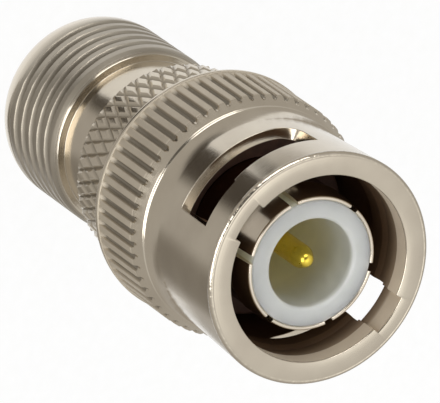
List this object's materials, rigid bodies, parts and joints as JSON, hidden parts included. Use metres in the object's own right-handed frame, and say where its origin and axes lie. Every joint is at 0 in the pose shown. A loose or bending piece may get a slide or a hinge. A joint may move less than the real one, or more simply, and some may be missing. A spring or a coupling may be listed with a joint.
{
  "type": "coaxial adapter",
  "caption": "Straight coaxial adapter: bayonet plug with a turning, sprung coupling nut at one end and an outside-threaded jack at the other, joined by a diamond-knurled grip band.",
  "frame": {"origin": "centre of the flat ring at the threaded jack's free end", "axes": "+Z along the adapter's axis, from the jack's free end to the plug's mouth; the lug notches of the coupling nut lie on +Y and -Y"},
  "size_m": [0.0144, 0.0144, 0.0287],
  "materials": {
    "nickel": "bright nickel plate over turned brass",
    "spring_steel": "plain spring steel",
    "white_polymer": "bluish white, slightly translucent polymer",
    "gold": "gold plate over turned brass",
    "seal_rubber": "dark matt rubber"
  },
  "bodies": {
    "body": {"main_body": "nickel", "outer_contact": "nickel", "gasket": "seal_rubber", "plug_insulator": "white_polymer", "centre_contact": "gold", "jack_insulator": "white_polymer", "wave_spring": "spring_steel"},
    "washer": {"thrust_washer": "spring_steel"},
    "nut": {"coupling_nut": "nickel"}
  },
  "joints": [
    {"name": "nut_float", "type": "slide", "parent": "body", "child": "washer", "axis": [0, 0, 1], "range_m": [0, 0.0006], "stiffness_N_per_m": 600, "springref_m": -0.0003, "deforming": ["wave_spring"]},
    {"name": "nut_spin", "type": "hinge", "parent": "washer", "child": "nut", "pos_m": [0, 0, 0.0157], "axis": [0, 0, 1], "continuous": true}
  ]
}
